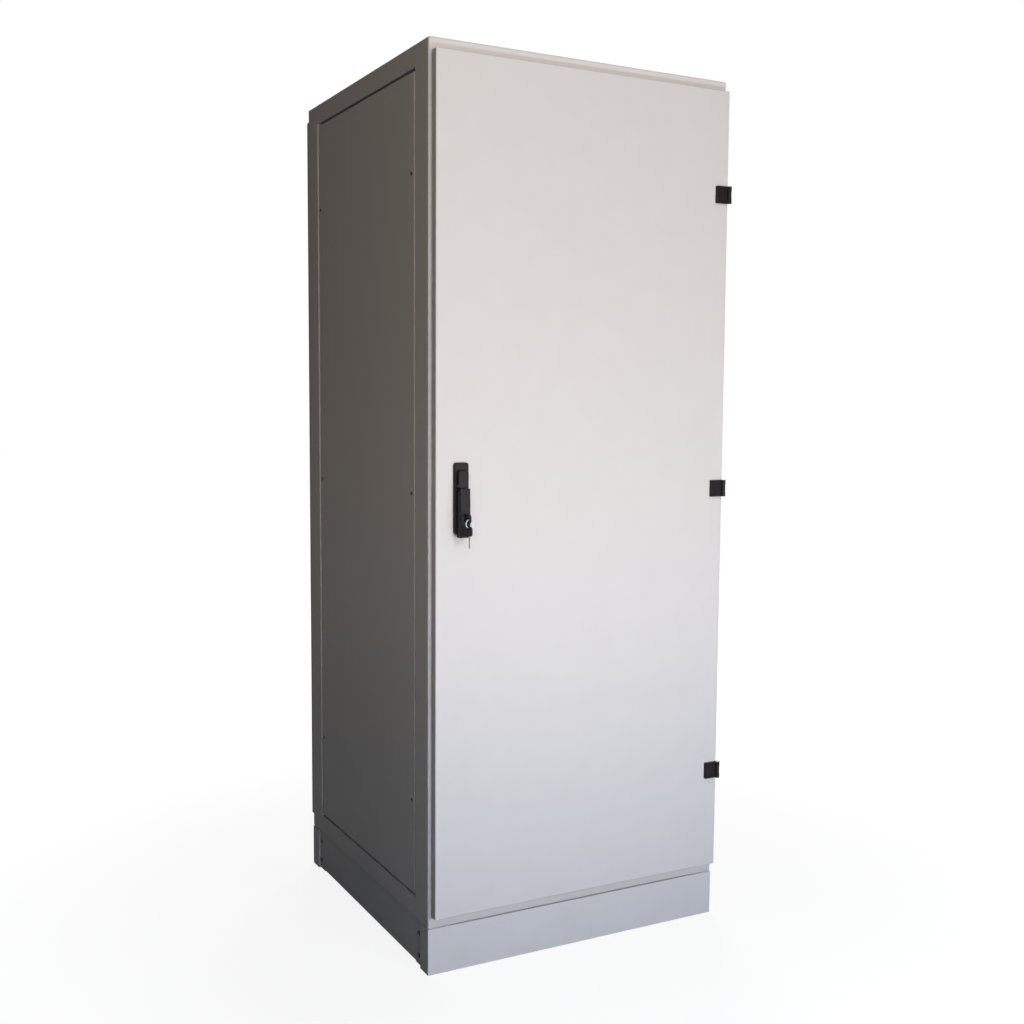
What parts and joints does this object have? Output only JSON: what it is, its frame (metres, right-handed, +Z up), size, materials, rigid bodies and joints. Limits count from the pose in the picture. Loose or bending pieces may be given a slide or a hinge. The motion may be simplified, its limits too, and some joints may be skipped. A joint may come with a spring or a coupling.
{
  "type": "roadside utility cabinet",
  "caption": "Tall light grey sheet-steel utility cabinet on a plinth, with a hinged front door, a swing handle that drives a rod lock, screwed side and rear panels and an inner mounting plate.",
  "frame": {"origin": "centre of the footprint on the floor, midway between the floor anchor holes", "axes": "+Z up, the door faces -Y, +X to the right as seen from the front, where the hinges are"},
  "size_m": [0.802, 0.911, 2.111],
  "materials": {
    "body_paint": "fine-textured light grey powder coat",
    "plinth_paint": "fine-textured light grey powder coat",
    "zinc_fasteners": "bright zinc plating",
    "galvanised_sheet": "galvanised sheet with a faint spangle",
    "seal_foam": "matt black foam",
    "black_coating": "satin black coating on die-cast zinc",
    "bright_steel": "drawn steel",
    "gearbox_zinc": "as-cast",
    "black_moulding": "fine-grained moulding",
    "lock_chrome": "plated",
    "key_brass": "dull brass"
  },
  "bodies": {
    "cabinet": {"plinth_front": "plinth_paint", "plinth_rear": "plinth_paint", "plinth_side_left": "plinth_paint", "plinth_side_right": "plinth_paint", "plinth_side_bolts": "zinc_fasteners", "plinth_frame_bolts": "zinc_fasteners", "base_frame": "body_paint", "gland_plate_front": "galvanised_sheet", "gland_plate_rear": "galvanised_sheet", "gland_plate_screws": "zinc_fasteners", "post_front_left": "body_paint", "post_front_right": "body_paint", "post_rear_left": "body_paint", "post_rear_right": "body_paint", "roof": "body_paint", "roof_bolts": "zinc_fasteners", "side_panel_left": "body_paint", "side_panel_right": "body_paint", "side_gasket_left": "seal_foam", "side_gasket_right": "seal_foam", "side_panel_screws": "zinc_fasteners", "rear_panel": "body_paint", "rear_gasket": "seal_foam", "rear_panel_screws": "zinc_fasteners", "mounting_plate": "galvanised_sheet", "plate_rail_upper": "galvanised_sheet", "plate_rail_lower": "galvanised_sheet", "plate_bolts": "zinc_fasteners", "hinge_frame_leaf_upper": "black_coating", "hinge_frame_leaf_middle": "black_coating", "hinge_frame_leaf_lower": "black_coating", "hinge_pins": "bright_steel", "hinge_frame_screws": "zinc_fasteners"},
    "door": {"door_panel": "body_paint", "door_gasket": "seal_foam", "door_stiffener_left": "body_paint", "door_stiffener_right": "body_paint", "hinge_door_leaf_upper": "black_coating", "hinge_door_leaf_middle": "black_coating", "hinge_door_leaf_lower": "black_coating", "hinge_door_screws": "zinc_fasteners", "handle_base": "black_coating", "handle_screws": "zinc_fasteners", "gearbox": "gearbox_zinc", "gearbox_cover": "gearbox_zinc", "rod_guide_upper": "black_moulding", "rod_guide_lower": "black_moulding"},
    "spindle": {"handle_head": "black_coating", "spindle": "bright_steel", "lever_pin": "bright_steel"},
    "lever": {"lever": "black_coating", "lock_body": "lock_chrome"},
    "key": {"lock_plug": "lock_chrome", "key_blade": "key_brass", "key_bow": "black_moulding"},
    "ring": {"key_ring": "bright_steel", "spare_key_blade": "key_brass", "spare_key_bow": "black_moulding"},
    "upper_rod": {"upper_rod": "bright_steel"},
    "lower_rod": {"lower_rod": "bright_steel"}
  },
  "joints": [
    {"name": "door_hinge", "type": "hinge", "parent": "cabinet", "child": "door", "pos_m": [0.391, -0.431, 1.10725], "axis": [0, 0, 1], "range_deg": [0, 130]},
    {"name": "handle_swing", "type": "hinge", "parent": "door", "child": "spindle", "pos_m": [-0.333, -0.432, 1.146], "axis": [0, -1, 0], "range_deg": [0, 90]},
    {"name": "handle_lift", "type": "hinge", "parent": "spindle", "child": "lever", "pos_m": [-0.333, -0.437, 1.13175], "axis": [-1, 0, 0], "range_deg": [0, 30]},
    {"name": "key_turn", "type": "hinge", "parent": "lever", "child": "key", "pos_m": [-0.333, -0.4558, 1.06025], "axis": [0, 1, 0], "range_deg": [0, 90]},
    {"name": "ring_swing", "type": "hinge", "parent": "key", "child": "ring", "pos_m": [-0.333, -0.4735, 1.05882], "axis": [1, 0, 0], "range_deg": [-60, 10]},
    {"name": "upper_rod_slide", "type": "slide", "parent": "door", "child": "upper_rod", "axis": [0, 0, 1], "range_m": [-0.019, 0]},
    {"name": "lower_rod_slide", "type": "slide", "parent": "door", "child": "lower_rod", "axis": [0, 0, 1], "range_m": [0, 0.019]}
  ],
  "couplings": [
    {"joint": "upper_rod_slide", "follows": "handle_swing", "m_per_rad": -0.012},
    {"joint": "lower_rod_slide", "follows": "handle_swing", "m_per_rad": 0.012}
  ]
}
